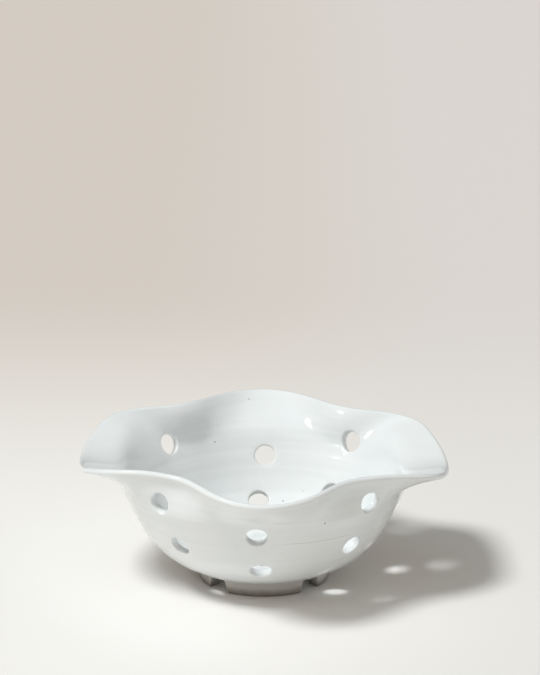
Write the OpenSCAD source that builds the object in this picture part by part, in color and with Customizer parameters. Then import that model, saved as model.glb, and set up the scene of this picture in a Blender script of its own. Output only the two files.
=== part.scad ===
// Berry colander bowl: a thrown bowl with drain holes, a rim pulled out into four lobes
// and a foot ring that is cut into four pads. Lengths are in millimetres.
// The origin is on the wheel axis at table level, +Z is up and the front faces -Y.
// Azimuths are in degrees from the front, towards +X.

/* [Foot ring] */
// Height of the foot ring, from the table to the underside of the bowl
foot_h = 8; // [6:0.5:10]
// Outer radius of the foot ring where it meets the bowl
foot_r = 36.5; // [33:0.5:37]
// Width of the foot ring along the radius
foot_w = 8; // [6:0.5:9]
// How far the outer side of the foot slopes inwards on its way down
foot_slope = 1; // [0:0.25:2]
// Radius of the sponged edges at the table
foot_round = 1.25; // [0.5:0.25:1.75]
// Width of a drain notch at the underside of the bowl
notch_w = 10; // [7:0.5:13]
// How much wider a notch is at the table
notch_flare = 3; // [0:0.5:5]

/* [Belly] */
// Radius of the flat underside, which the foot ring seats on
seat_r = 37; // [37:0.5:39]
// Radius of the curve that the wall follows up from the underside
belly_r = 50.5; // [48:0.5:53]
// Angle of the wall above the horizontal where it leaves the underside
belly_start = 16; // [13:0.5:19]
// Angle above the horizontal of the straight flank that follows the curve
flank_lean = 65; // [63:0.5:67]
// Height above the underside at which the flank ends and the rim begins
shoulder_h = 45; // [43:0.5:46]
// Thickness of the belly wall
wall = 4.5; // [3.5:0.1:5.5]
// Thickness of the floor
floor_t = 5; // [4:0.25:7]
// Radius of the hollow between the floor and the inside of the wall
floor_round = 14; // [10:1:18]

/* [Rim] */
// Thickness of the rim at its rounded lip
lip = 3.4; // [2.4:0.1:4.4]
// Height of the lip above the underside in the four valleys
valley_h = 69; // [66:0.5:73]
// Radius of the lip in the valleys
valley_r = 80; // [77:0.5:84]
// How far below the lip the rim bends outwards in the valleys
valley_bend = 18; // [16:0.5:20]
// Angle of the lip above the horizontal in the valleys
valley_lean = 50; // [44:1:60]
// Angle between a valley and the nearer of the front and the back
valley_at = 35; // [32:1:39]
// Reach of the front and back lobes from the wheel axis
front_reach = 101; // [96:0.5:108]
// How much lower than the valleys the front lobe is
front_drop = 3.5; // [1:0.5:5]
// How much lower than the valleys the back lobe is
back_drop = 1.5; // [0:0.5:4]
// How far below the lip the rim bends outwards at the front and back lobes
front_bend = 15; // [13:0.5:18]
// Reach of the side lobes from the wheel axis
side_reach = 100.5; // [96:0.5:106]
// How much lower than the valleys the side lobes sag
side_drop = 12.5; // [9:0.5:15]
// How far below the lip the rim bends outwards at the side lobes
side_bend = 5; // [4:0.5:7]
// Angle over which the rim swings out from a front valley to a side lobe
front_spread = 42; // [34:1:48]
// Angle over which the rim swings out from a back valley to a side lobe
back_spread = 29; // [24:1:38]
// How far the rim dips to the right and rises to the left
right_dip = 1.75; // [0:0.25:2.5]

/* [Drain holes] */
// Diameter of the holes in the wall
hole_d = 11.5; // [9:0.5:13]
// Height above the underside of the top holes between the lobes
top_hole_h = 51.5; // [50:0.5:52.5]
// Height above the underside of the upper holes at the lobes
upper_hole_h = 39.5; // [37.5:0.5:40.5]
// Height above the underside of the middle holes between the lobes
middle_hole_h = 26.5; // [24.5:0.5:28.5]
// Height above the underside of the lower holes at the lobes
lower_hole_h = 16; // [14.5:0.5:18]
// How much lower the top, upper and lower holes are at the back
back_hole_drop = 3; // [0:0.5:4]
// How much lower the middle holes are at the back
middle_hole_drop = 6.5; // [5:0.5:7.5]
// Height above the underside of the lowest holes between the lobes
lowest_hole_h = 3.5; // [3:0.25:5]
// Diameter of the holes in the floor
floor_hole_d = 9; // [7:0.5:10]
// Distance of the outer floor holes from the wheel axis
floor_hole_ring_r = 17; // [14:0.5:20]

/* [Hidden] */
$fn = 96;

// Angles of the four-part symmetry
quarter = 90;
diagonal = quarter / 2;

// Counts of the facets around the bowl and along each stretch of its wall section
around_steps = 96;
belly_steps = 7;
rim_steps = 10;
lip_steps = 5;
hollow_steps = 3;
corner_steps = 4;

// Azimuths of the holes in each row, which the maker set out by eye
top_azimuths = [45.5, 315.5];
top_back_azimuths = [139, 225];
upper_azimuths = [-3, 90, 270];
upper_back_azimuths = [179.5];
middle_azimuths = [43, 319];
middle_back_azimuths = [142.5, 220];
lower_azimuths = [-1.5, 90, 270];
lower_back_azimuths = [183];
lowest_azimuths = [45, 135, 225, 315];

// Cuts run this far past the faces that they open
overrun = 5;

// Centre of the belly curve, and the directions from it to both ends of the curve
belly_centre_r = seat_r - belly_r * sin(belly_start);
belly_centre_z = foot_h + belly_r * cos(belly_start);
belly_low = belly_start - quarter;
belly_high = flank_lean - quarter;
belly_inner_r = belly_r - wall;

// Radius and height at which the curve passes into the straight flank
flank_r = belly_centre_r + belly_r * cos(belly_high);
flank_z = belly_centre_z + belly_r * sin(belly_high);

// Hollow at the edge of the floor, which touches the floor and the inner belly curve
floor_z = foot_h + floor_t;
hollow_z = floor_z + floor_round;
hollow_reach = belly_inner_r - floor_round;
hollow_tilt = asin((hollow_z - belly_centre_z) / hollow_reach);
hollow_r = belly_centre_r + hollow_reach * cos(hollow_tilt);

// Shares of the stretch from the bend to the lip that the tangent at the lip takes
valley_tip_share = 0.5;
lobe_tip_share = 0.9;

// Steps of azimuth and of the rim's run over which the slope of the rim is measured
slope_azimuth = 0.5;
slope_share = 0.01;

function heading(t) = [cos(t), sin(t)];
function unit(v) = v / norm(v);
function ease(u) = (1 - cos(2 * quarter * u)) / 2;
function turned(p, a) = [p[0] * sin(a), -p[0] * cos(a), p[1]];
function on_arc(r0, z0, radius, t) = [r0, z0] + radius * heading(t);

// Outside of the wall at a height, on the belly curve or the flank, and the way out of it
function wall_tilt(z) = z < flank_z ? asin((z - belly_centre_z) / belly_r) : belly_high;
function wall_point(z) =
    z < flank_z ? on_arc(belly_centre_r, belly_centre_z, belly_r, wall_tilt(z))
        : [flank_r + (z - flank_z) / tan(flank_lean), z];

// How far the rim is pulled towards a lobe at an azimuth, from 0 in a valley to 1 in mid-lobe
function fold(a) = acos(abs(cos(a)));
function spread(a) = cos(a) > 0 ? front_spread : back_spread;
function drop(a) = cos(a) > 0 ? front_drop : back_drop;
function front_pull(a) = ease(max(0, 1 - fold(a) / valley_at));
function side_pull(a) = ease(min(1, max(0, (fold(a) - valley_at) / spread(a))));
function side_sag(a) = ease(max(0, (fold(a) - diagonal) / (quarter - diagonal)));
function between(valley, front, side, a) =
    valley + (front - valley) * front_pull(a) + (side - valley) * side_pull(a);

// The lip, the bend on the flank below it, and the lean of the lip
function lip_r(a) = between(valley_r, front_reach, side_reach, a);
function lip_z(a) =
    foot_h + valley_h - drop(a) * front_pull(a) - side_drop * side_sag(a) - right_dip * sin(a);
function bend_depth(a) = between(valley_bend, front_bend, side_bend, a);
function bend(a) = wall_point(max(foot_h + shoulder_h, lip_z(a) - bend_depth(a)));
function aim(a) = atan2(lip_z(a) - bend(a)[1], lip_r(a) - bend(a)[0]);
function lean(a) = between(valley_lean, aim(a), aim(a), a);
function tip_share(a) = between(valley_tip_share, lobe_tip_share, lobe_tip_share, a);
function shoulder() = wall_point(foot_h + shoulder_h);

// Outer section of the rim: from the shoulder, in line with the flank, round the bend to the lip
function rim_end(a) = [lip_r(a), lip_z(a)] + lip / 2 * (heading(lean(a) - quarter) - heading(lean(a)));
function curve(p, q, r, s, u) =
    pow(1 - u, 3) * p + 3 * u * pow(1 - u, 2) * q + 3 * u * u * (1 - u) * r + pow(u, 3) * s;
function rim_section(a, u) =
    let (end = rim_end(a), tip = norm(end - bend(a)) * tip_share(a))
    curve(shoulder(), bend(a), end - tip * heading(lean(a)), end, u);

// The rim in space: a point on its outside, the way up along it, and the way out of it
function rim_point(a, u) = turned(rim_section(a, u), a);
function rim_up(a, u) = unit(rim_point(a, u + slope_share) - rim_point(a, u - slope_share));
function rim_out(a, u) =
    unit(cross(rim_point(a + slope_azimuth, u) - rim_point(a - slope_azimuth, u), rim_up(a, u)));
function rim_wall(u) = wall + (lip - wall) * u;
function lip_point(a, t) =
    rim_point(a, 1) + lip / 2 * ((cos(t) - 1) * rim_out(a, 1) + sin(t) * rim_up(a, 1));

// One closed section of the bowl, from the edge of the underside over the lip to the floor
function section(a) = [
    for (k = [0:belly_steps])
        turned(on_arc(belly_centre_r, belly_centre_z, belly_r,
            belly_low + (belly_high - belly_low) * k / belly_steps), a),
    for (k = [0:rim_steps]) rim_point(a, k / rim_steps),
    for (k = [1:lip_steps - 1]) lip_point(a, 2 * quarter * k / lip_steps),
    for (k = [rim_steps:-1:1])
        rim_point(a, k / rim_steps) - rim_wall(k / rim_steps) * rim_out(a, k / rim_steps),
    turned(shoulder() - wall * heading(belly_high), a),
    for (k = [belly_steps:-1:1])
        turned(on_arc(belly_centre_r, belly_centre_z, belly_inner_r,
            hollow_tilt + (belly_high - hollow_tilt) * k / belly_steps), a),
    for (k = [hollow_steps:-1:0])
        turned(on_arc(hollow_r, hollow_z, floor_round,
            -quarter + (hollow_tilt + quarter) * k / hollow_steps), a)
];

// Solid that joins equal sections around the axis
module lofted(sections) {
    turns = len(sections);
    rings = len(sections[0]);
    polyhedron(
        points = [for (s = sections) each s],
        faces = [
            [for (i = [0:turns - 1]) i * rings],
            [for (i = [turns - 1:-1:0]) i * rings + rings - 1],
            for (i = [0:turns - 1], j = [0:rings - 2])
                let (low = i * rings + j, next = (i + 1) % turns * rings + j)
                each [[low, low + 1, next + 1], [low, next + 1, next]]
        ]);
}

// Straight bore through the wall, square to the surface, at a point on the outside
module bore(point, out, diameter) {
    translate(point)
        rotate([quarter - asin(out[2]), 0, atan2(out[0], -out[1])])
            translate([0, 0, -wall - overrun])
                cylinder(d = diameter, h = wall + 2 * overrun);
}

// Row of bores in the wall at one height above the underside
module bores(height, azimuths) {
    z = foot_h + height;
    for (a = azimuths)
        bore(turned(wall_point(z), a), turned(heading(wall_tilt(z)), a), hole_d);
}

module floor_bore(ring_r, a) {
    translate(turned([ring_r, foot_h - overrun], a))
        cylinder(d = floor_hole_d, h = floor_t + 2 * overrun);
}

module bowl() {
    color("whitesmoke")
        difference() {
            lofted([for (i = [0:around_steps - 1]) section(4 * quarter * i / around_steps)]);
            bores(top_hole_h, top_azimuths);
            bores(top_hole_h - back_hole_drop, top_back_azimuths);
            bores(upper_hole_h, upper_azimuths);
            bores(upper_hole_h - back_hole_drop, upper_back_azimuths);
            bores(middle_hole_h, middle_azimuths);
            bores(middle_hole_h - middle_hole_drop, middle_back_azimuths);
            bores(lower_hole_h, lower_azimuths);
            bores(lower_hole_h - back_hole_drop, lower_back_azimuths);
            bores(lowest_hole_h, lowest_azimuths);
            floor_bore(0, 0);
            for (a = [0:quarter:3 * quarter])
                floor_bore(floor_hole_ring_r, a);
        }
}

// Section of the foot ring, flat on the table between its two rounded edges
function foot_corner(r, from) = [
    for (k = [0:corner_steps])
        on_arc(r, foot_round, foot_round, from + quarter * k / corner_steps)
];
foot_section = concat(
    [[foot_r, foot_h], [foot_r - foot_w, foot_h]],
    foot_corner(foot_r - foot_w + foot_round, 2 * quarter),
    foot_corner(foot_r - foot_slope - foot_round, -quarter));

// Cutter of one drain notch, wider towards the table
module notch() {
    low_w = notch_w + notch_flare;
    rotate([quarter, 0, 0])
        linear_extrude(foot_r + overrun)
            polygon([
                [-low_w / 2, 0], [low_w / 2, 0],
                [notch_w / 2, foot_h], [-notch_w / 2, foot_h]
            ]);
}

// One quarter of the foot ring, between two notches
module foot(facing) {
    color("gainsboro")
        rotate([0, 0, facing])
            difference() {
                rotate([0, 0, -quarter - diagonal])
                    rotate_extrude(angle = quarter)
                        polygon(foot_section);
                for (a = [-diagonal, diagonal])
                    rotate([0, 0, a]) notch();
            }
}

module foot_front() { foot(0); }
module foot_right() { foot(quarter); }
module foot_back() { foot(2 * quarter); }
module foot_left() { foot(3 * quarter); }

bowl();
foot_front();
foot_right();
foot_back();
foot_left();
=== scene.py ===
"""Berry colander bowl in white glaze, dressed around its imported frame.

The bowl is made as a potter makes it: thrown as a round wall, its rim pulled out into four
lobes, its wall drilled, and a foot ring cut into four pads set under it. Lengths in the fields
are millimetres unless a name says otherwise. Azimuths are degrees from the front, towards +X.
"""

from __future__ import annotations

import logging
import math
from dataclasses import dataclass, field
from enum import Enum
from typing import Any, Callable, Sequence

import bmesh
import bpy
import numpy as np
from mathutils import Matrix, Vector
from mathutils.bvhtree import BVHTree

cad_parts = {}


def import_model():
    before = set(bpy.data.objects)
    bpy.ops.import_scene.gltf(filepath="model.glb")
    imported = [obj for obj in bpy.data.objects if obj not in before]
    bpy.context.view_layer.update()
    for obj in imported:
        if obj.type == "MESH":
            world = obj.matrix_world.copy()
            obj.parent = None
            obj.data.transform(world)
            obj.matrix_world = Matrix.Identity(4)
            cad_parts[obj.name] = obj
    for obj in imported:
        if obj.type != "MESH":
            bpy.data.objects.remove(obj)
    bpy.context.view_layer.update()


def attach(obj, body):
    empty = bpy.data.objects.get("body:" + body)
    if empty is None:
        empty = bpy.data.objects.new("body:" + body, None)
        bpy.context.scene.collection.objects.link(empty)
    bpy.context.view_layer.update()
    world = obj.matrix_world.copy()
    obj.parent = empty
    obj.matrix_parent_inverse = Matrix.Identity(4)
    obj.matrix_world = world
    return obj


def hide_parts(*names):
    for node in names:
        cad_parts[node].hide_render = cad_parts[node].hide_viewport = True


log = logging.getLogger("berry_bowl")

MM = 0.001
BODY = "root"
DIAGONAL = 45.0  # degrees between a side of the bowl and the diagonal beside it
STRAIGHT = 0.999  # cosine from which two directions count as one

Colour = tuple[float, float, float]
Triple = tuple[float, float, float]
Pair = tuple[float, float]


def ease(share: float) -> float:
    """Soft step from 0 to 1 along a half cosine."""
    return (1 - math.cos(math.pi * share)) / 2


def heading(angle: float) -> Vector:
    """Unit direction in a section, as radius and height, at an angle above the horizontal."""
    return Vector((math.cos(math.radians(angle)), math.sin(math.radians(angle))))


def turned(point: Sequence[float], azimuth: float) -> Vector:
    """Point of a section, as radius and height, turned to its azimuth."""
    angle = math.radians(azimuth)
    return Vector((point[0] * math.sin(angle), -point[0] * math.cos(angle), point[1]))


def arc(centre: Sequence[float], radius: float, start: float, end: float,
        steps: int) -> list[Pair]:
    """Points along an arc of a section.

    Args:
        centre: Radius and height of the arc's centre.
        radius: Radius of the arc.
        start: Direction from the centre to the first point, in degrees.
        end: Direction from the centre to the last point, in degrees.
        steps: Number of chords.

    Returns:
        Both ends and the points between them, as radius and height.
    """
    points = []
    for step in range(steps + 1):
        point = Vector(centre) + radius * heading(start + (end - start) * step / steps)
        points.append((point.x, point.y))
    return points


class Facing(Enum):
    """Sides of the bowl that carry a lobe and a foot pad, with their azimuths."""

    FRONT = 0
    RIGHT = 90
    BACK = 180
    LEFT = 270

    @property
    def node(self) -> str:
        """Name of the frame's node for the foot pad on this side."""
        return f"foot_{self.name.lower()}"


class Element(Enum):
    """Kinds of mesh element, by Blender's names."""

    VERT = "VERT"
    EDGE = "EDGE"
    FACE = "FACE"


class Stretch(Enum):
    """Stretches of the rim's section."""

    OUTSIDE = "outside"
    LIP = "lip"
    INSIDE = "inside"


class Workbench:
    """Mesh helpers that leave nothing else selected or active."""

    @staticmethod
    def clear() -> None:
        """Deselects every object."""
        bpy.ops.object.select_all(action="DESELECT")

    @staticmethod
    def edit(obj: bpy.types.Object) -> None:
        """Selects one object alone and opens it in edit mode."""
        Workbench.clear()
        obj.select_set(True)
        bpy.context.view_layer.objects.active = obj
        bpy.ops.object.mode_set(mode="EDIT")

    @staticmethod
    def leave() -> None:
        """Goes back to object mode."""
        bpy.ops.object.mode_set(mode="OBJECT")

    @staticmethod
    def pick(obj: bpy.types.Object, kind: Element, test: Callable[[Any], bool]) -> None:
        """Selects only the elements that pass a test, in edit mode.

        Args:
            obj: Object that is open in edit mode.
            kind: Kind of element to pick from.
            test: Takes an element and says whether it is wanted.
        """
        bpy.ops.mesh.select_mode(type=kind.value)
        bpy.ops.mesh.select_all(action="DESELECT")
        mesh = bmesh.from_edit_mesh(obj.data)
        elements = {Element.VERT: mesh.verts, Element.EDGE: mesh.edges,
                    Element.FACE: mesh.faces}[kind]
        wanted = [element for element in elements if test(element)]
        for element in wanted:
            element.select_set(True)
        mesh.select_flush_mode()
        bmesh.update_edit_mesh(obj.data)

    @staticmethod
    def place_selected(obj: bpy.types.Object, rule: Callable[[Vector], Vector]) -> None:
        """Moves each selected vertex to where a rule sends it, in edit mode."""
        mesh = bmesh.from_edit_mesh(obj.data)
        for vertex in mesh.verts:
            if vertex.select:
                vertex.co = rule(vertex.co)
        bmesh.update_edit_mesh(obj.data)

    @staticmethod
    def read(obj: bpy.types.Object, what: str) -> np.ndarray:
        """The places ("co") or the normals ("normal") of all vertices, one to a row."""
        values = np.empty(len(obj.data.vertices) * 3)
        obj.data.vertices.foreach_get(what, values)
        return values.reshape(-1, 3)

    @staticmethod
    def write(obj: bpy.types.Object, places: np.ndarray) -> None:
        """Puts every vertex in its place."""
        obj.data.vertices.foreach_set("co", places.ravel())
        obj.data.update()

    @staticmethod
    def finish(obj: bpy.types.Object, name: str, smooth_angle: float) -> None:
        """Names a piece, turns its faces outwards and shades it smooth up to an angle."""
        Workbench.edit(obj)
        bpy.ops.mesh.select_all(action="SELECT")
        bpy.ops.mesh.normals_make_consistent(inside=False)
        Workbench.leave()
        obj.name = name
        obj.data.name = name
        bpy.ops.object.shade_smooth_by_angle(angle=math.radians(smooth_angle))


class Shade:
    """A shader socket that takes part in Python arithmetic."""

    def __init__(self, bench: NodeBench, socket: bpy.types.NodeSocket) -> None:
        """Wraps one output socket of a bench's tree."""
        self.bench = bench
        self.socket = socket

    def _math(self, operation: str, *values: Any) -> Shade:
        """Adds one Math node on these values."""
        return self.bench.out(self.bench.node("ShaderNodeMath", {"operation": operation},
                                              dict(enumerate(values))))

    def __add__(self, other: Any) -> Shade:
        """Sum."""
        return self._math("ADD", self, other)

    def __radd__(self, other: Any) -> Shade:
        """Sum with a number on the left."""
        return self._math("ADD", other, self)

    def __sub__(self, other: Any) -> Shade:
        """Difference."""
        return self._math("SUBTRACT", self, other)

    def __rsub__(self, other: Any) -> Shade:
        """Difference from a number on the left."""
        return self._math("SUBTRACT", other, self)

    def __mul__(self, other: Any) -> Shade:
        """Product."""
        return self._math("MULTIPLY", self, other)

    def __rmul__(self, other: Any) -> Shade:
        """Product with a number on the left."""
        return self._math("MULTIPLY", other, self)

    def __abs__(self) -> Shade:
        """Size without sign."""
        return self._math("ABSOLUTE", self)

    def __gt__(self, other: Any) -> Shade:
        """1 where this is greater, else 0."""
        return self._math("GREATER_THAN", self, other)

    def most(self, other: Any) -> Shade:
        """The larger of two values."""
        return self._math("MAXIMUM", self, other)

    def step(self, low: float, high: float) -> Shade:
        """Soft step from 0 at low to 1 at high, where low may be the larger."""
        node = self.bench.node("ShaderNodeMapRange", {"interpolation_type": "SMOOTHSTEP"},
                               {"Value": self, "From Min": low, "From Max": high})
        return self.bench.out(node)


class NodeBench:
    """Builds the node tree of one material or world."""

    def __init__(self, tree: bpy.types.NodeTree) -> None:
        """Starts from an empty tree."""
        self.tree = tree
        tree.nodes.clear()

    def node(self, kind: str, settings: dict[str, Any] | None = None,
             sockets: dict[Any, Any] | None = None) -> bpy.types.Node:
        """Adds a node.

        Args:
            kind: Blender's type name of the node.
            settings: Attributes that are set first.
            sockets: Values or links by input name or index.

        Returns:
            The new node.
        """
        node = self.tree.nodes.new(kind)
        for name, value in (settings or {}).items():
            setattr(node, name, value)
        for key, value in (sockets or {}).items():
            if isinstance(value, Shade):
                self.tree.links.new(value.socket, node.inputs[key])
            else:
                node.inputs[key].default_value = value
        return node

    def out(self, node: bpy.types.Node, name: str | int = 0) -> Shade:
        """Output of a node, ready for arithmetic."""
        return Shade(self, node.outputs[name])

    def place(self) -> Shade:
        """Object coordinates, in metres."""
        return self.out(self.node("ShaderNodeTexCoord"), "Object")

    def parts(self, vector: Shade) -> tuple[Shade, Shade, Shade]:
        """The three parts of a vector."""
        node = self.node("ShaderNodeSeparateXYZ", sockets={0: vector})
        return self.out(node, 0), self.out(node, 1), self.out(node, 2)

    def stretched(self, vector: Shade, scale: Sequence[float]) -> Shade:
        """A vector with each part multiplied."""
        return self.out(self.node("ShaderNodeVectorMath", {"operation": "MULTIPLY"},
                                  {0: vector, 1: tuple(scale)}))

    def distance(self, vector: Shade, point: Sequence[float]) -> Shade:
        """Distance from a fixed point."""
        return self.out(self.node("ShaderNodeVectorMath", {"operation": "DISTANCE"},
                                  {0: vector, 1: tuple(point)}), "Value")

    def noise(self, vector: Shade, scale: float, detail: float = 2.0) -> Shade:
        """Soft noise around 0.5."""
        return self.out(self.node("ShaderNodeTexNoise", sockets={
            "Vector": vector, "Scale": scale, "Detail": detail}), 0)

    def mix(self, factor: Shade, first: Any, second: Any) -> Shade:
        """Blend of two colours."""
        node = self.node("ShaderNodeMix", {"data_type": "RGBA"}, {"Factor": factor})
        for key, value in ((6, first), (7, second)):
            if isinstance(value, Shade):
                self.tree.links.new(value.socket, node.inputs[key])
            else:
                node.inputs[key].default_value = (*value, 1.0)
        return self.out(node, 2)

    def surface(self, shader: bpy.types.Node) -> None:
        """Makes a shader node the surface of the material."""
        self.node("ShaderNodeOutputMaterial", sockets={"Surface": self.out(shader)})


@dataclass(frozen=True)
class Speck:
    """An iron speck in the glaze, at a place on the surface."""

    azimuth: float
    radius: float
    height: float
    size: float

    @property
    def place_m(self) -> Triple:
        """Place in metres."""
        return tuple(turned((self.radius, self.height), self.azimuth) * MM)


@dataclass(frozen=True)
class GlazeFinish:
    """Glossy white glaze with a cool tint, faint throwing marks and a few iron specks."""

    name: str = "white_glaze"
    white: Colour = (0.848, 0.868, 0.87)
    pooled: Colour = (0.805, 0.84, 0.85)
    speck_brown: Colour = (0.09, 0.065, 0.045)
    score_brown: Colour = (0.55, 0.45, 0.40)
    # Wiped clay below the glaze line; on the foot these also paint shade towards the table.
    clay: Colour = (0.52, 0.46, 0.39)
    glaze_line_and_shade: Pair = (1.0, 0.3)
    roughness: Pair = (0.06, 0.13)
    clay_roughness: float = 0.75
    ior: float = 1.52
    # Clouds, throwing rings and ripples, and their parts in the tint and in the relief.
    cloud_scale: float = 22.0
    ring_stretch: Triple = (12.0, 12.0, 420.0)
    ripple_scale: float = 190.0
    tint_parts: Pair = (0.65, 0.35)
    tint_edge: Pair = (0.36, 0.66)
    relief_parts: Triple = (0.62, 0.30, 0.5)
    relief_strength: float = 0.22
    relief_depth: float = 0.35
    # Wiped clay under the glaze line; on the foot it also paints shade, darker towards the table.
    grain_scale: float = 900.0
    grain_dark: float = 0.8
    line_scale: float = 160.0
    line_wander: float = 2.0
    # Scored line.
    score_height: float = 42.9
    score_azimuths: Pair = (5.0, 43.0)
    score_fade: float = 9.0
    score_width: float = 0.28
    score_core: float = 0.1
    score_scale: float = 40.0
    score_wander: float = 1.6
    score_strength: float = 0.55
    # Iron specks.
    scatter_scale: float = 55.0
    scatter_edge: Pair = (0.022, 0.014)
    scatter_from: float = 0.93
    speck_core: float = 0.6
    specks: tuple[Speck, ...] = (
        Speck(24.3, 77.6, 54.2, 0.50),
        Speck(168.9, 55.5, 24.0, 0.45),
        Speck(158.6, 60.1, 29.4, 0.35),
        Speck(-157.7, 73.0, 54.7, 0.40),
        Speck(-174.7, 92.7, 72.5, 0.40),
    )

    def _speck_mask(self, bench: NodeBench, place: Shade) -> Shade:
        """1 on an iron speck: the ones that show, and a thin scatter all over."""
        cells = bench.node("ShaderNodeTexVoronoi", sockets={
            "Vector": place, "Scale": self.scatter_scale})
        chosen, _, _ = bench.parts(bench.out(cells, "Color"))
        mask = bench.out(cells, "Distance").step(*self.scatter_edge) * (chosen > self.scatter_from)
        for speck in self.specks:
            near = bench.distance(place, speck.place_m)
            mask = mask.most(near.step(speck.size * MM, speck.size * MM * self.speck_core))
        return mask

    def _score_mask(self, bench: NodeBench, place: Shade) -> Shade:
        """1 on the thin line that a grain of sand scored while the wall was thrown."""
        x, y, z = bench.parts(place)
        azimuth = bench.out(bench.node("ShaderNodeMath", {"operation": "ARCTAN2"},
                                       {0: x, 1: 0 - y}))
        first, last = (math.radians(value) for value in self.score_azimuths)
        fade = math.radians(self.score_fade)
        drawn = azimuth.step(first, first + fade) * azimuth.step(last, last - fade)
        wander = (bench.noise(place, self.score_scale) - 0.5) * (self.score_wander * MM)
        off = abs(z - self.score_height * MM + wander)
        width = self.score_width * MM
        return off.step(width, self.score_core * width) * drawn

    def _bare_clay_and_shade_mask(self, bench: NodeBench, place: Shade) -> Shade:
        """1 on clay wiped of its glaze under an uneven line; on the foot, also painted shade near
        the table.
        """
        _, _, z = bench.parts(place)
        wander = (bench.noise(place, self.line_scale) - 0.5) * (self.line_wander * MM)
        covered, wiped = self.glaze_line_and_shade
        return (z + wander).step(covered * MM, wiped * MM)

    def material(self) -> bpy.types.Material:
        """The glaze as a material on Object coordinates."""
        made = bpy.data.materials.new(self.name)
        made.use_nodes = True
        bench = NodeBench(made.node_tree)
        place = bench.place()
        cloud = bench.noise(place, self.cloud_scale, detail=3.0)
        rings = bench.noise(bench.stretched(place, self.ring_stretch), 1.0, detail=3.0)
        ripples = bench.noise(place, self.ripple_scale, detail=1.0)
        grain = bench.noise(place, self.grain_scale)
        bare_clay_and_shade = self._bare_clay_and_shade_mask(bench, place)

        cloud_part, ring_part = self.tint_parts
        tint = (cloud_part * cloud + ring_part * rings).step(*self.tint_edge)
        colour = bench.mix(tint, self.pooled, self.white)
        score = self.score_strength * self._score_mask(bench, place)
        colour = bench.mix(score, colour, self.score_brown)
        colour = bench.mix(self._speck_mask(bench, place), colour, self.speck_brown)
        dark_clay = tuple(self.grain_dark * part for part in self.clay)
        # Clay with grain where wiped; on the foot this darkening is painted shade.
        colour = bench.mix(bare_clay_and_shade, colour, bench.mix(grain, self.clay, dark_clay))

        smooth, dull = self.roughness
        sheen = smooth + (dull - smooth) * cloud
        ring_part, ripple_part, grain_part = self.relief_parts
        height = ring_part * rings + ripple_part * ripples + bare_clay_and_shade * (grain_part * grain)
        bump = bench.node("ShaderNodeBump", sockets={
            "Strength": self.relief_strength, "Distance": self.relief_depth * MM, "Height": height})
        bench.surface(bench.node("ShaderNodeBsdfPrincipled", sockets={
            "Base Color": colour, "Roughness": sheen + bare_clay_and_shade * (self.clay_roughness - sheen),
            "Normal": bench.out(bump), "IOR": self.ior}))
        return made


@dataclass(frozen=True)
class Belly:
    """Round lower part of the bowl: underside, belly curve, flank, inner hollow and floor."""

    foot_h: float = 8.0
    seat_r: float = 37.0
    radius: float = 50.5
    start: float = 16.0
    flank_lean: float = 65.0
    shoulder_h: float = 45.0
    wall: float = 4.5
    floor_t: float = 5.0
    floor_round: float = 14.0

    @property
    def centre(self) -> Pair:
        """Centre of the belly curve, as radius and height."""
        angle = math.radians(self.start)
        return (self.seat_r - self.radius * math.sin(angle),
                self.foot_h + self.radius * math.cos(angle))

    @property
    def low(self) -> float:
        """Direction from the centre to the edge of the underside."""
        return self.start - 90

    @property
    def high(self) -> float:
        """Direction from the centre to the flank, which is also the way out of the flank."""
        return self.flank_lean - 90

    @property
    def flank(self) -> Vector:
        """Point where the curve passes into the flank."""
        return Vector(self.centre) + self.radius * heading(self.high)

    @property
    def floor_z(self) -> float:
        """Height of the floor's upper face."""
        return self.foot_h + self.floor_t

    @property
    def hollow(self) -> tuple[Pair, float]:
        """Centre of the hollow at the floor's edge, and the direction where it meets the wall."""
        reach = self.radius - self.wall - self.floor_round
        z = self.floor_z + self.floor_round
        tilt = math.degrees(math.asin((z - self.centre[1]) / reach))
        return (self.centre[0] + reach * math.cos(math.radians(tilt)), z), tilt

    def tilt(self, z: float) -> float:
        """Angle above the horizontal of the way out of the wall at a height."""
        if z < self.flank.y:
            return math.degrees(math.asin((z - self.centre[1]) / self.radius))
        return self.high

    def point(self, z: float) -> Vector:
        """Point on the outside of the wall at a height, on the curve or the flank."""
        if z < self.flank.y:
            return Vector(self.centre) + self.radius * heading(self.tilt(z))
        run = (z - self.flank.y) / math.tan(math.radians(self.flank_lean))
        return Vector((self.flank.x + run, z))

    def shoulder(self) -> Vector:
        """Point where the flank ends and the rim begins."""
        return self.point(self.foot_h + self.shoulder_h)


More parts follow.
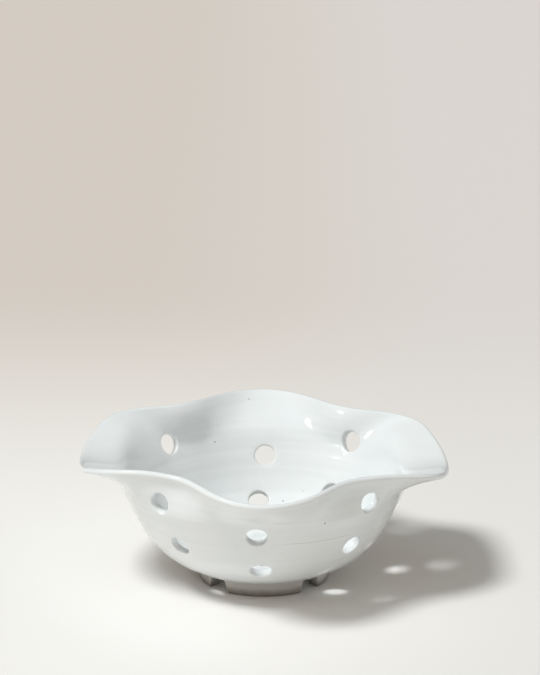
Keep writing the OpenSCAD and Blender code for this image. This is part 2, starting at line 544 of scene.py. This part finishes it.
@dataclass(frozen=True)
class Rim:
    """Rim of the bowl, pulled out into four lobes with valleys between them."""

    belly: Belly = field(default_factory=Belly)
    lip: float = 3.4
    valley_h: float = 69.0
    valley_r: float = 80.0
    valley_bend: float = 18.0
    valley_lean: float = 50.0
    valley_at: float = 35.0
    front_reach: float = 101.0
    front_drop: float = 3.5
    back_drop: float = 1.5
    front_bend: float = 15.0
    side_reach: float = 100.5
    side_drop: float = 12.5
    side_bend: float = 5.0
    front_spread: float = 42.0
    back_spread: float = 29.0
    right_dip: float = 1.75
    valley_tip_share: float = 0.5
    lobe_tip_share: float = 0.9
    slope_azimuth: float = 0.5
    slope_share: float = 0.01

    @staticmethod
    def fold(azimuth: float) -> float:
        """Angle from the nearer of the front and the back."""
        return math.degrees(math.acos(min(1.0, abs(math.cos(math.radians(azimuth))))))

    def pulls(self, azimuth: float) -> Pair:
        """How far the rim goes towards the front or back lobe and towards the side lobe."""
        fold = self.fold(azimuth)
        spread = self.front_spread if math.cos(math.radians(azimuth)) > 0 else self.back_spread
        front = ease(max(0.0, 1 - fold / self.valley_at))
        side = ease(min(1.0, max(0.0, (fold - self.valley_at) / spread)))
        return front, side

    def between(self, valley: float, front: float, side: float, azimuth: float) -> float:
        """Blend of a valley's value with those of the lobes beside it."""
        to_front, to_side = self.pulls(azimuth)
        return valley + (front - valley) * to_front + (side - valley) * to_side

    def tip(self, azimuth: float) -> Vector:
        """Reach and height of the lip."""
        drop = self.front_drop if math.cos(math.radians(azimuth)) > 0 else self.back_drop
        sag = ease(max(0.0, (self.fold(azimuth) - DIAGONAL) / DIAGONAL))
        height = (self.belly.foot_h + self.valley_h - drop * self.pulls(azimuth)[0]
                  - self.side_drop * sag - self.right_dip * math.sin(math.radians(azimuth)))
        reach = self.between(self.valley_r, self.front_reach, self.side_reach, azimuth)
        return Vector((reach, height))

    def bend(self, azimuth: float) -> Vector:
        """Point on the flank at which the rim turns outwards."""
        depth = self.between(self.valley_bend, self.front_bend, self.side_bend, azimuth)
        return self.belly.point(max(self.belly.shoulder().y, self.tip(azimuth).y - depth))

    def lean(self, azimuth: float) -> float:
        """Angle of the lip above the horizontal."""
        run = self.tip(azimuth) - self.bend(azimuth)
        aim = math.degrees(math.atan2(run.y, run.x))
        return self.between(self.valley_lean, aim, aim, azimuth)

    def section(self, azimuth: float, share: float) -> Vector:
        """Point on the outer section, from the shoulder at share 0 to the lip at share 1."""
        start, bend = self.belly.shoulder(), self.bend(azimuth)
        way = heading(self.lean(azimuth))
        end = self.tip(azimuth) + self.lip / 2 * (Vector((way.y, -way.x)) - way)
        pull = self.between(self.valley_tip_share, self.lobe_tip_share, self.lobe_tip_share,
                            azimuth)
        tip = end - (end - bend).length * pull * way
        rest = 1 - share
        return (rest ** 3 * start + 3 * share * rest ** 2 * bend
                + 3 * share ** 2 * rest * tip + share ** 3 * end)

    def point(self, azimuth: float, share: float) -> Vector:
        """Point on the outside of the rim."""
        return turned(self.section(azimuth, share), azimuth)

    def up(self, azimuth: float, share: float) -> Vector:
        """Unit direction along the rim towards the lip."""
        step = self.slope_share
        return (self.point(azimuth, share + step) - self.point(azimuth, share - step)).normalized()

    def out(self, azimuth: float, share: float) -> Vector:
        """Unit direction out of the rim's outer face."""
        step = self.slope_azimuth
        along = self.point(azimuth + step, share) - self.point(azimuth - step, share)
        return along.cross(self.up(azimuth, share)).normalized()

    def thickness(self, share: float) -> float:
        """Thickness of the rim, from the wall's to the lip's."""
        return self.belly.wall + (self.lip - self.belly.wall) * share

    def inner(self, azimuth: float, share: float) -> Vector:
        """Point on the inside of the rim."""
        return self.point(azimuth, share) - self.thickness(share) * self.out(azimuth, share)

    def crest(self, azimuth: float, angle: float) -> Vector:
        """Point on the rounded lip, from the outside at 0 degrees to the inside at 180."""
        turn = math.radians(angle)
        across = (math.cos(turn) - 1) * self.out(azimuth, 1) + math.sin(turn) * self.up(azimuth, 1)
        return self.point(azimuth, 1) + self.lip / 2 * across


@dataclass(frozen=True)
class Hole:
    """A drain hole: a point on the outer face, the way out of the wall there, and a diameter."""

    point: Vector
    out: Vector
    diameter: float

    @property
    def upright(self) -> bool:
        """Whether it goes straight down, through the flat floor."""
        return self.out.z < -STRAIGHT


@dataclass(frozen=True)
class HoleRow:
    """Holes at one height above the underside, at azimuths that the maker set out by eye."""

    height: float
    azimuths: tuple[float, ...]


@dataclass(frozen=True)
class DrainHoles:
    """Rows of drain holes around the wall, and a ring of them in the floor."""

    belly: Belly = field(default_factory=Belly)
    diameter: float = 11.5
    rows: tuple[HoleRow, ...] = (
        HoleRow(51.5, (45.5, 315.5)),
        HoleRow(48.5, (139, 225)),
        HoleRow(39.5, (-3, 90, 270)),
        HoleRow(36.5, (179.5,)),
        HoleRow(26.5, (43, 319)),
        HoleRow(20.0, (142.5, 220)),
        HoleRow(16.0, (-1.5, 90, 270)),
        HoleRow(13.0, (183,)),
        HoleRow(3.5, (45, 135, 225, 315)),
    )
    floor_diameter: float = 9.0
    floor_ring_r: float = 17.0

    def wall_holes(self) -> list[Hole]:
        """Every hole through the wall."""
        holes = []
        for row in self.rows:
            z = self.belly.foot_h + row.height
            place, out = self.belly.point(z), heading(self.belly.tilt(z))
            holes += [Hole(turned(place, a), turned(out, a), self.diameter) for a in row.azimuths]
        return holes

    def floor_holes(self) -> list[Hole]:
        """The ring of holes through the floor, around the middle one."""
        down = Vector((0, 0, -1))
        start = (self.floor_ring_r, self.belly.foot_h)
        return [Hole(turned(start, facing.value), down, self.floor_diameter) for facing in Facing]


@dataclass(frozen=True)
class Drill:
    """A drill set on one hole, with its lengths in metres.

    It stands on a point of the outer face and points out of the wall. Its limits along that way
    are in thicknesses of the wall.
    """

    foot: Vector
    out: Vector
    bore: float
    border: float
    thick: float
    skin: BVHTree
    clears_along: Pair = (-2.2, 1.2)
    rims_along: Pair = (-3.0, 2.0)
    cast_from: Pair = (-3.0, 2.0)
    level: float = 0.5
    border_span: float = 2.0
    facing_from: float = 0.5
    slack_m: float = 1e-6

    def along(self, place: Vector) -> float:
        """How far a place lies out of the wall's outer face."""
        return (place - self.foot).dot(self.out)

    def across(self, place: Vector) -> float:
        """How far a place lies from the drill's axis."""
        return (place - self.foot - self.along(place) * self.out).length

    def _cast(self, place: Vector, start: float, way: int) -> Vector:
        """Where a ray along the drill through a place meets the undrilled wall."""
        begin = place - self.along(place) * self.out + start * self.thick * self.out
        return self.skin.ray_cast(begin, way * self.out)[0]

    def on_outside(self, place: Vector) -> Vector:
        """A place moved along the drill onto the wall's outer face."""
        return self._cast(place, self.cast_from[1], -1)

    def on_inside(self, place: Vector) -> Vector:
        """A place moved along the drill onto the wall's inner face."""
        return self._cast(place, self.cast_from[0], 1)

    def clears(self, face: bmesh.types.BMFace) -> bool:
        """Whether a face of the wall reaches into the border around the hole."""
        middle = face.calc_center_median()
        low, high = self.clears_along
        return (self.across(middle) < self.border_span * self.border
                and low * self.thick < self.along(middle) < high * self.thick
                and min(self.across(corner.co) for corner in face.verts) < self.border)

    def outside(self, edge: bmesh.types.BMEdge) -> bool:
        """Whether an open edge belongs to the outer face, of the wall or of the bore."""
        face = edge.link_faces[0]
        facing = face.normal.dot(self.out)
        if abs(facing) > self.facing_from:
            return facing > 0
        height = sum(self.along(corner.co) for corner in edge.verts) / 2
        return height > self.along(face.calc_center_median())

    def rims(self, edge: bmesh.types.BMEdge) -> bool:
        """Whether an edge runs around one of the bore's two ends."""
        first, second = (corner.co for corner in edge.verts)
        low, high = self.rims_along
        return (abs(self.across(first) - self.bore) < self.slack_m
                and abs(self.across(second) - self.bore) < self.slack_m
                and abs(self.along(first) - self.along(second)) < self.level * self.thick
                and low * self.thick < self.along(first) < high * self.thick)


@dataclass
class ThrownBowl:
    """The thrown and drilled bowl, from its underside to its lip."""

    name: str = "thrown_bowl"
    belly: Belly = field(default_factory=Belly)
    rim: Rim = field(default_factory=Rim)
    holes: DrainHoles = field(default_factory=DrainHoles)
    around: int = 240
    hole_sides: int = 48
    hole_round: float = 0.8
    hole_border: float = 1.7
    hole_bevel_steps: int = 4
    underside_steps: int = 14
    belly_steps: int = 24
    flank_steps: int = 11
    rim_steps: int = 22
    lip_steps: int = 10
    hollow_steps: int = 8
    floor_steps: int = 10
    ring_relief: float = 0.05
    ring_pitches: tuple[float, ...] = (4.3, 6.9, 11.7)
    ring_stop: float = 12.0
    ring_fade: float = 6.0
    smooth_angle: float = 50.0

    def _round_stations(self) -> tuple[list[Pair], list[Pair]]:
        """The round stretches of the section, on both sides of the rim.

        Returns:
            The stations from the middle hole out along the underside and up the belly, and the
            stations from the shoulder down inside to the middle hole.
        """
        belly = self.belly
        soft = self.hole_round
        edge = self.holes.floor_diameter / 2 + soft
        low = arc((edge, belly.foot_h + soft), soft, 180, 270, self.hole_bevel_steps)
        low += [(edge + (belly.seat_r - edge) * k / self.underside_steps, belly.foot_h)
                for k in range(1, self.underside_steps)]
        low += arc(belly.centre, belly.radius, belly.low, belly.high, self.belly_steps)
        flank = [tuple(belly.flank.lerp(belly.shoulder(), k / self.flank_steps))
                 for k in range(1, self.flank_steps + 1)]
        low += flank
        (hollow_r, hollow_z), tilt = belly.hollow
        inwards = belly.wall * heading(belly.high)
        high = [(r - inwards.x, z - inwards.y) for r, z in reversed(flank)]
        high += arc(belly.centre, belly.radius - belly.wall, belly.high, tilt, self.belly_steps)
        high += arc((hollow_r, hollow_z), belly.floor_round, tilt, -90, self.hollow_steps)[1:]
        high += [(hollow_r + (edge - hollow_r) * k / self.floor_steps, belly.floor_z)
                 for k in range(1, self.floor_steps)]
        high += arc((edge, belly.floor_z - soft), soft, 90, 180, self.hole_bevel_steps)
        return low, high

    def _rim_stations(self) -> list[tuple[Stretch, float]]:
        """The stations of the rim: its outside, its lip and its inside."""
        steps = self.rim_steps
        return ([(Stretch.OUTSIDE, k / steps) for k in range(1, steps + 1)]
                + [(Stretch.LIP, 180 * k / self.lip_steps) for k in range(1, self.lip_steps)]
                + [(Stretch.INSIDE, k / steps) for k in range(steps, 0, -1)])

    def _throw(self) -> bpy.types.Object:
        """Throws a round wall: one ring, drawn out and up ring by ring and closed on itself."""
        low, high = self._round_stations()
        rim = [self._rim_place(station, self.rim.valley_at) for station in self._rim_stations()]
        rounds = low + [(math.hypot(x, y), z) for x, y, z in rim] + high
        Workbench.clear()
        first_r, first_z = rounds[0]
        bpy.ops.mesh.primitive_circle_add(vertices=self.around, radius=first_r * MM,
                                          fill_type="NOTHING", location=(0, 0, first_z * MM))
        wall = bpy.context.object
        bpy.ops.object.transform_apply(location=True, rotation=True, scale=True)
        Workbench.edit(wall)
        bpy.ops.mesh.select_mode(type="EDGE")
        bpy.ops.mesh.select_all(action="SELECT")
        for (r, z), (next_r, next_z) in zip(rounds, rounds[1:]):
            bpy.ops.mesh.extrude_edges_move()
            bpy.ops.transform.resize(value=(next_r / r, next_r / r, 1),
                                     center_override=(0, 0, z * MM))
            bpy.ops.transform.translate(value=(0, 0, (next_z - z) * MM))
        Workbench.pick(wall, Element.EDGE, lambda edge: edge.is_boundary)
        bpy.ops.mesh.bridge_edge_loops()
        Workbench.leave()
        return wall

    def _rim_place(self, station: tuple[Stretch, float], azimuth: float) -> Vector:
        """Where a station of the rim lies at an azimuth."""
        stretch, value = station
        if stretch is Stretch.OUTSIDE:
            return self.rim.point(azimuth, value)
        if stretch is Stretch.INSIDE:
            return self.rim.inner(azimuth, value)
        return self.rim.crest(azimuth, value)

    def _pull_lobes(self, wall: bpy.types.Object) -> None:
        """Pulls the thrown rim out into its lobes, ring by ring and in every direction."""
        first = len(self._round_stations()[0])
        places = Workbench.read(wall, "co")
        for offset, station in enumerate(self._rim_stations()):
            begin = (first + offset) * self.around
            for index in range(begin, begin + self.around):
                x, y, _ = places[index]
                azimuth = math.degrees(math.atan2(x, -y))
                places[index] = self._rim_place(station, azimuth) * MM
        Workbench.write(wall, places)

    def _throwing_rings(self, wall: bpy.types.Object) -> None:
        """Leaves the fingers' faint spiral rings on the wall."""
        places = Workbench.read(wall, "co")
        normals = Workbench.read(wall, "normal")
        height = places[:, 2] / MM
        turn = np.arctan2(places[:, 0], -places[:, 1])
        relief = sum(np.sin(2 * np.pi * height / pitch + turn + pitch)
                     for pitch in self.ring_pitches)
        fade = np.clip((height - self.belly.floor_z) / self.belly.floor_z, 0, 1)
        top = self.belly.foot_h + self.rim.valley_h - self.ring_stop
        fade *= np.clip((top - height) / self.ring_fade, 0, 1)
        places += normals * (relief * fade * self.ring_relief * MM)[:, None]
        Workbench.write(wall, places)

    def _drill(self, wall: bpy.types.Object, hole: Hole, skin: BVHTree) -> None:
        """Drills one hole through the wall and softens both its edges.

        Args:
            wall: The bowl, open in edit mode.
            hole: The hole to drill.
            skin: The undrilled wall, which the edges of the hole are laid on.
        """
        bore = hole.diameter / 2 * MM
        border = bore + (self.hole_round + self.hole_border) * MM
        drill = Drill(hole.point * MM, hole.out, bore, border, self.belly.wall * MM, skin)
        Workbench.pick(wall, Element.FACE, drill.clears)
        bpy.ops.mesh.delete(type="FACE")
        bpy.ops.mesh.select_mode(type="EDGE")
        bpy.ops.mesh.select_all(action="DESELECT")
        bpy.ops.mesh.primitive_circle_add(
            vertices=self.hole_sides, radius=bore, fill_type="NOTHING", location=drill.foot,
            rotation=hole.out.to_track_quat("Z", "Y").to_euler())
        Workbench.place_selected(wall, drill.on_outside)
        bpy.ops.mesh.extrude_edges_move()
        Workbench.place_selected(wall, drill.on_inside)
        for outer in (True, False):
            Workbench.pick(wall, Element.EDGE,
                           lambda edge: edge.is_boundary and drill.outside(edge) == outer)
            if hole.upright:
                bpy.ops.mesh.fill()
            else:
                bpy.ops.mesh.bridge_edge_loops()
        Workbench.pick(wall, Element.EDGE, drill.rims)
        bpy.ops.mesh.bevel(offset=self.hole_round * MM, segments=self.hole_bevel_steps,
                           affect="EDGES")

    def build(self) -> bpy.types.Object:
        """Throws the wall, pulls the lobes and drills the holes.

        Returns:
            The finished bowl.
        """
        wall = self._throw()
        self._pull_lobes(wall)
        Workbench.finish(wall, self.name, self.smooth_angle)
        self._throwing_rings(wall)
        skin = BVHTree.FromObject(wall, bpy.context.evaluated_depsgraph_get())
        Workbench.edit(wall)
        for hole in self.holes.wall_holes() + self.holes.floor_holes():
            self._drill(wall, hole, skin)
        Workbench.leave()
        Workbench.finish(wall, self.name, self.smooth_angle)
        return wall

    def dress(self, bowl: bpy.types.Object, glaze: bpy.types.Material) -> None:
        """Glazes the bowl and lets it stand for its node."""
        bowl.data.materials.append(glaze)
        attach(bowl, BODY)
        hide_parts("bowl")


@dataclass
class FootRing:
    """The foot ring under the bowl, cut by four notches into pads."""

    height: float = 8.0
    outer_r: float = 36.5
    width: float = 8.0
    slope: float = 1.0
    edge_round: float = 1.25
    notch_w: float = 10.0
    notch_flare: float = 3.0
    end_round: float = 0.9
    fillet: float = 1.2
    fillet_soft: float = 0.8
    end_clear: float = 0.2
    pick_slack: float = 0.1
    turn_steps: int = 24
    corner_steps: int = 5
    end_steps: int = 4
    smooth_angle: float = 40.0

    def _section(self) -> bpy.types.Object:
        """One upright outline of the ring, rounded below and flared to the bowl outside."""
        Workbench.clear()
        middle = (self.outer_r - self.width / 2) * MM
        half = self.height / 2 * MM
        slack = self.pick_slack * MM
        bpy.ops.mesh.primitive_plane_add(size=1, location=(middle, 0, half),
                                         rotation=(math.radians(90), 0, 0))
        pad = bpy.context.object
        pad.scale = (self.width * MM, self.height * MM, 1)
        bpy.ops.object.transform_apply(location=True, rotation=True, scale=True)
        Workbench.edit(pad)
        Workbench.pick(pad, Element.VERT, lambda v: v.co.z < half and v.co.x > middle)
        bpy.ops.transform.translate(value=(-self.slope * MM, 0, 0))
        Workbench.pick(pad, Element.EDGE, lambda e: all(v.co.x > middle for v in e.verts))
        bpy.ops.mesh.subdivide(number_cuts=1)
        Workbench.pick(pad, Element.VERT,
                       lambda v: v.co.x > middle and abs(v.co.z - half) < slack)
        bpy.ops.transform.translate(value=(self.slope / 4 * MM, 0, half - self.fillet * MM))
        Workbench.pick(pad, Element.VERT,
                       lambda v: v.co.x > middle and v.co.z > 2 * half - slack)
        bpy.ops.transform.translate(value=(self.fillet * MM, 0, 0))
        Workbench.pick(pad, Element.VERT,
                       lambda v: v.co.x > middle and half < v.co.z < 2 * half - slack)
        bpy.ops.mesh.bevel(offset=self.fillet_soft * self.fillet * MM, segments=self.corner_steps,
                           affect="VERTICES")
        Workbench.pick(pad, Element.VERT, lambda v: v.co.z < half)
        bpy.ops.mesh.bevel(offset=self.edge_round * MM, segments=self.corner_steps,
                           affect="VERTICES")
        bpy.ops.mesh.select_all(action="SELECT")
        bpy.ops.mesh.delete(type="ONLY_FACE")
        return pad

    def _notch_turn(self, radius: float, z: float) -> float:
        """Angle between the middle of a notch and its wall, at a radius and a height."""
        half = (self.notch_w + self.notch_flare * (1 - z / self.height)) / 2
        return math.degrees(math.asin(half / radius))

    def _placed(self, facing: Facing, share: float) -> Callable[[Vector], Vector]:
        """Rule that sends the outline to its place between the notches on both sides of a pad."""
        def rule(place: Vector) -> Vector:
            """Turns one place to where the pad has it."""
            radius, z = math.hypot(place.x, place.y) / MM, place.z / MM
            half = DIAGONAL - self._notch_turn(radius, z)
            return turned((radius, z), facing.value + (2 * share - 1) * half) * MM
        return rule

    def build(self, facing: Facing) -> bpy.types.Object:
        """Draws the outline round from one notch to the next, closes the pad and sponges its ends.

        Args:
            facing: The side of the bowl that the pad is on.

        Returns:
            The finished pad.
        """
        pad = self._section()
        bpy.ops.mesh.select_mode(type="EDGE")
        bpy.ops.mesh.select_all(action="SELECT")
        Workbench.place_selected(pad, self._placed(facing, 0))
        for step in range(1, self.turn_steps + 1):
            bpy.ops.mesh.extrude_edges_move()
            Workbench.place_selected(pad, self._placed(facing, step / self.turn_steps))
        Workbench.pick(pad, Element.EDGE, lambda edge: edge.is_boundary)
        bpy.ops.mesh.fill_holes(sides=0)
        top = (self.height - self.end_clear) * MM

        def sponged(edge: bmesh.types.BMEdge) -> bool:
            """Whether an edge bounds an end of the pad, below the bowl."""
            on_end = [len(face.verts) > 4 for face in edge.link_faces]
            return any(on_end) and not all(on_end) and any(v.co.z < top for v in edge.verts)

        Workbench.pick(pad, Element.EDGE, sponged)
        bpy.ops.mesh.bevel(offset=self.end_round * MM, segments=self.end_steps, affect="EDGES")
        Workbench.leave()
        Workbench.finish(pad, f"pad_{facing.name.lower()}", self.smooth_angle)
        return pad

    def dress(self, pad: bpy.types.Object, facing: Facing, finish: bpy.types.Material) -> None:
        """Finishes a pad and lets it stand for its node."""
        pad.data.materials.append(finish)
        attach(pad, BODY)
        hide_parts(facing.node)


@dataclass(frozen=True)
class Window:
    """Soft patch of light in the room: its colour, where it stands and how its edge fades."""

    colour: Colour
    stands: Triple
    spread: Pair


@dataclass(frozen=True)
class Stage:
    """Pale table, painted darker to the right and far off as fall-off of light, and its light."""

    # The lighter near left and the darker right and distance are painted fall-off of the light.
    near_left: Colour = (0.92, 0.902, 0.88)
    near_right: Colour = (0.825, 0.803, 0.78)
    far_left: Colour = (0.69, 0.625, 0.575)
    far_right: Colour = (0.735, 0.69, 0.66)
    roughness: float = 0.9
    specular: float = 0.1
    reach_m: float = 14.0
    fade_m: Pair = (0.02, 0.62)
    sides_m: Pair = (-0.10, 0.16)
    low: Colour = (0.085, 0.06, 0.035)
    high: Colour = (0.20, 0.17, 0.13)
    rise: Pair = (0.0, 0.8)
    windows: tuple[Window, ...] = (
        Window((0.68, 0.76, 0.80), (-0.20, -0.12, 0.97), (0.76, 0.97)),
        Window((0.96, 0.98, 0.98), (0.965, 0.10, 0.24), (0.80, 0.97)),
        Window((0.50, 0.455, 0.40), (-0.62, -0.74, 0.26), (0.30, 0.98)))
    key_strength: float = 2.25
    key_angle: float = 15.5
    key_travel: Triple = (0.52, 0.30, -1.0)
    key_tint: Colour = (0.95, 0.985, 1.0)
    pane_strength: float = 0.5
    pane_angle: float = 14.0
    pane_travel: Triple = (0.795, 0.198, -0.574)

    def floor(self) -> None:
        """Lays the table, with the light's fall-off painted into its colour."""
        Workbench.clear()
        bpy.ops.mesh.primitive_plane_add(size=self.reach_m)
        table = bpy.context.object
        table.name = "table"
        made = bpy.data.materials.new("pale_table")
        made.use_nodes = True
        bench = NodeBench(made.node_tree)
        x, y, _ = bench.parts(bench.place())
        across = x.step(*self.sides_m)
        near = bench.mix(across, self.near_left, self.near_right)
        far = bench.mix(across, self.far_left, self.far_right)
        bench.surface(bench.node("ShaderNodeBsdfPrincipled", sockets={
            "Base Color": bench.mix(y.step(*self.fade_m), near, far),
            "Roughness": self.roughness, "Specular IOR Level": self.specular}))
        table.data.materials.append(made)

    def light(self) -> None:
        """Sets the key lamp, the pane that the glaze mirrors, and the room with its windows."""
        key = self._sun("key", self.key_strength, self.key_angle, self.key_travel)
        key.data.color = self.key_tint
        key.visible_glossy = False
        pane = self._sun("pane", self.pane_strength, self.pane_angle, self.pane_travel)
        pane.visible_diffuse = False
        world = bpy.data.worlds.new("room")
        world.use_nodes = True
        bpy.context.scene.world = world
        bench = NodeBench(world.node_tree)
        way = bench.out(bench.node("ShaderNodeTexCoord"), "Generated")
        _, _, up = bench.parts(way)
        colour = bench.mix(up.step(*self.rise), self.low, self.high)
        for window in self.windows:
            middle = tuple(Vector(window.stands).normalized())
            toward = bench.out(bench.node("ShaderNodeVectorMath", {"operation": "DOT_PRODUCT"},
                                          {0: way, 1: middle}), "Value")
            colour = bench.mix(toward.step(*window.spread), colour, window.colour)
        background = bench.node("ShaderNodeBackground", sockets={"Color": colour, "Strength": 1.0})
        bench.node("ShaderNodeOutputWorld", sockets={"Surface": bench.out(background)})

    @staticmethod
    def _sun(name: str, strength: float, angle: float, travel: Triple) -> bpy.types.Object:
        """A distant lamp of a given strength and angular size, shining along its travel."""
        lamp = bpy.data.lights.new(name, "SUN")
        lamp.energy = strength
        lamp.angle = math.radians(angle)
        holder = bpy.data.objects.new(name, lamp)
        holder.rotation_euler = Vector(travel).to_track_quat("-Z", "Y").to_euler()
        bpy.context.scene.collection.objects.link(holder)
        return holder


@dataclass(frozen=True)
class PhotoView:
    """Camera at the photograph's viewing angle."""

    distance: float = 1800.0
    elevation: float = 18.9
    aim_height: float = 40.0
    pitch: float = 15.98
    yaw: float = 0.11
    focal_px: float = 3291.36
    photo_height_px: int = 675
    sensor: float = 36.0
    clip_end_m: float = 100.0

    def place(self) -> None:
        """Adds the camera and makes it the scene's."""
        lens = bpy.data.cameras.new("photo_view")
        lens.sensor_fit = "VERTICAL"
        lens.sensor_height = self.sensor
        lens.lens = self.focal_px * self.sensor / self.photo_height_px
        lens.clip_end = self.clip_end_m
        camera = bpy.data.objects.new("photo_view", lens)
        rise = math.radians(self.elevation)
        camera.location = Vector((0, -self.distance * math.cos(rise),
                                  self.aim_height + self.distance * math.sin(rise))) * MM
        pitch, yaw = math.radians(self.pitch), math.radians(self.yaw)
        aim = Vector((math.sin(yaw) * math.cos(pitch), math.cos(yaw) * math.cos(pitch),
                      -math.sin(pitch)))
        camera.rotation_euler = aim.to_track_quat("-Z", "Y").to_euler()
        bpy.context.scene.collection.objects.link(camera)
        bpy.context.scene.camera = camera


def finishes() -> tuple[bpy.types.Material, bpy.types.Material]:
    """The glaze of the bowl, and the foot's, wiped thin and painted darker as shade under the bowl.
    """
    # Painted shade: the foot's darker white and dark clay, run over most of the pad's height,
    # darken it towards the table.
    foot = GlazeFinish("foot_glaze", white=(0.70, 0.69, 0.665), pooled=(0.62, 0.61, 0.585),
                       clay=(0.30, 0.275, 0.245), glaze_line_and_shade=(6.5, 0.0), roughness=(0.16, 0.28),
                       specks=())
    return GlazeFinish().material(), foot.material()


def main() -> None:
    """Builds and dresses every piece, then the stage, the light and the camera."""
    logging.basicConfig(level=logging.INFO, format="%(name)s: %(message)s")
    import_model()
    bpy.context.scene.view_settings.view_transform = "Standard"
    glaze, foot_glaze = finishes()
    thrown = ThrownBowl()
    bowl = thrown.build()
    thrown.dress(bowl, glaze)
    log.info("%s: %d faces", bowl.name, len(bowl.data.polygons))
    ring = FootRing()
    for facing in Facing:
        pad = ring.build(facing)
        ring.dress(pad, facing, foot_glaze)
        log.info("%s: %d faces", pad.name, len(pad.data.polygons))
    stage = Stage()
    stage.floor()
    stage.light()
    PhotoView().place()


if __name__ == "__main__":
    main()
